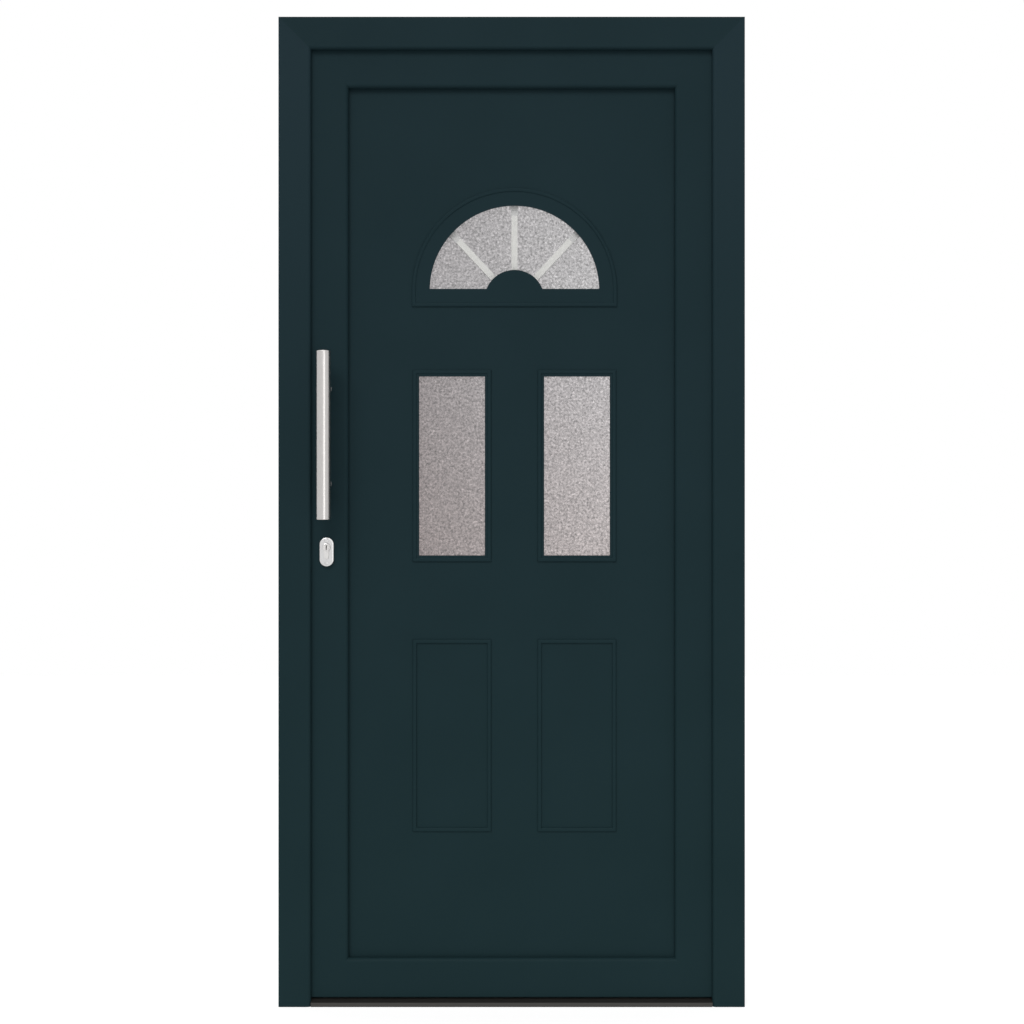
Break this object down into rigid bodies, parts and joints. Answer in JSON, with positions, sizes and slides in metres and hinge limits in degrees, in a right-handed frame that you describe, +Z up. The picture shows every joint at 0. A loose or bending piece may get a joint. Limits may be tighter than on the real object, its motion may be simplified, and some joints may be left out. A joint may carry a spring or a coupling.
{
  "type": "front door with frame",
  "caption": "Panelled front door leaf hung in its frame with a low threshold, fan light, upright windows, blank cassettes, pull bar, inside lever and multi-point lock.",
  "frame": {"origin": "on the floor under the threshold, at the middle of the frame's width and depth", "axes": "+X to the hinge side seen from the street, +Y from the street into the room, +Z up"},
  "size_m": [0.98, 0.2055, 2.08],
  "materials": {
    "door_finish": "smooth dark blue-grey foil on plastic",
    "galvanised_steel": "zinc plated steel",
    "seal_rubber": "black sealing rubber",
    "threshold_aluminium": "dark grey anodised aluminium",
    "base_plastic": "black plastic",
    "foam_core": "rigid foam",
    "clear_glass": "clear float glass",
    "textured_glass": "fine grained obscured glass",
    "spacer_aluminium": "plain aluminium",
    "bar_white": "off-white coating",
    "stainless": "brushed stainless steel",
    "nickel": "satin nickel"
  },
  "bodies": {
    "frame": {"frame_jamb_left": "door_finish", "frame_jamb_right": "door_finish", "frame_head": "door_finish", "frame_steels": "galvanised_steel", "frame_gasket": "seal_rubber", "threshold_rail": "threshold_aluminium", "threshold_base": "base_plastic", "strike_plate_centre": "galvanised_steel", "strike_plate_upper": "galvanised_steel", "strike_plate_lower": "galvanised_steel", "hinge_frame_leaves": "stainless", "hinge_pins": "stainless"},
    "sash": {"sash_lock_stile": "door_finish", "sash_hinge_stile": "door_finish", "sash_top_rail": "door_finish", "sash_bottom_rail": "door_finish", "sash_steels": "galvanised_steel", "panel_outer_skin": "door_finish", "panel_core": "foam_core", "panel_inner_skin": "door_finish", "panel_gasket_outer": "seal_rubber", "panel_gasket_inner": "seal_rubber", "glazing_bead_left": "door_finish", "glazing_bead_right": "door_finish", "glazing_bead_top": "door_finish", "glazing_bead_bottom": "door_finish", "sash_gasket": "seal_rubber", "bottom_seal": "seal_rubber", "fan_moulding_outer": "door_finish", "fan_moulding_inner": "door_finish", "window_mouldings_outer": "door_finish", "window_mouldings_inner": "door_finish", "cassette_mouldings_outer": "door_finish", "cassette_mouldings_inner": "door_finish", "fan_pane_outer": "clear_glass", "fan_pane_inner": "textured_glass", "fan_spacer": "spacer_aluminium", "window_panes_outer": "clear_glass", "window_panes_inner": "textured_glass", "window_spacers": "spacer_aluminium", "fan_glazing_bars": "bar_white", "fan_bar_clips": "spacer_aluminium", "hinge_sash_leaves": "stainless", "pull_bar": "stainless", "pull_bar_caps": "stainless", "pull_bar_studs": "galvanised_steel", "escutcheon": "stainless", "lock_cylinder": "nickel", "lock_case": "galvanised_steel", "lock_faceplate": "galvanised_steel", "hook_boxes": "galvanised_steel", "lever_plate": "stainless"},
    "lever": {"lever_handle": "stainless", "lever_spindle": "galvanised_steel"},
    "latch": {"latch_bolt": "galvanised_steel"},
    "key_plug": {"cylinder_plug": "nickel"},
    "bolt": {"deadbolt": "galvanised_steel"},
    "rails": {"drive_rails": "galvanised_steel"},
    "upper_hook": {"hook_upper": "galvanised_steel"},
    "lower_hook": {"hook_lower": "galvanised_steel"}
  },
  "joints": [
    {"name": "door_swing", "type": "hinge", "parent": "frame", "child": "sash", "pos_m": [0.464, 0.054, 0], "axis": [0, 0, -1], "range_deg": [0, 100]},
    {"name": "lever_press", "type": "hinge", "parent": "sash", "child": "lever", "pos_m": [-0.3895, 0, 1.057], "axis": [0, 1, 0], "range_deg": [0, 35], "stiffness_Nm_per_rad": 1, "springref_deg": -34.38},
    {"name": "latch_retract", "type": "slide", "parent": "sash", "child": "latch", "axis": [1, 0, 0], "range_m": [0, 0.0115]},
    {"name": "key_turn", "type": "hinge", "parent": "sash", "child": "key_plug", "pos_m": [-0.3895, 0, 0.965], "axis": [0, 1, 0], "range_deg": [0, 360]},
    {"name": "deadbolt_throw", "type": "slide", "parent": "sash", "child": "bolt", "axis": [-1, 0, 0], "range_m": [0, 0.02]},
    {"name": "rail_slide", "type": "slide", "parent": "sash", "child": "rails", "axis": [0, 0, 1], "range_m": [0, 0.018]},
    {"name": "upper_hook_swing", "type": "hinge", "parent": "sash", "child": "upper_hook", "pos_m": [-0.418, 0.024, 1.725], "axis": [0, -1, 0], "range_deg": [0, 90]},
    {"name": "lower_hook_swing", "type": "hinge", "parent": "sash", "child": "lower_hook", "pos_m": [-0.418, 0.024, 0.235], "axis": [0, -1, 0], "range_deg": [0, 90]}
  ],
  "couplings": [
    {"joint": "latch_retract", "follows": "lever_press", "m_per_rad": 0.0188},
    {"joint": "key_turn", "follows": "deadbolt_throw", "rad_per_m": 314.15},
    {"joint": "rail_slide", "follows": "deadbolt_throw", "ratio": 0.899},
    {"joint": "upper_hook_swing", "follows": "deadbolt_throw", "rad_per_m": 78.53},
    {"joint": "lower_hook_swing", "follows": "deadbolt_throw", "rad_per_m": 78.53}
  ]
}
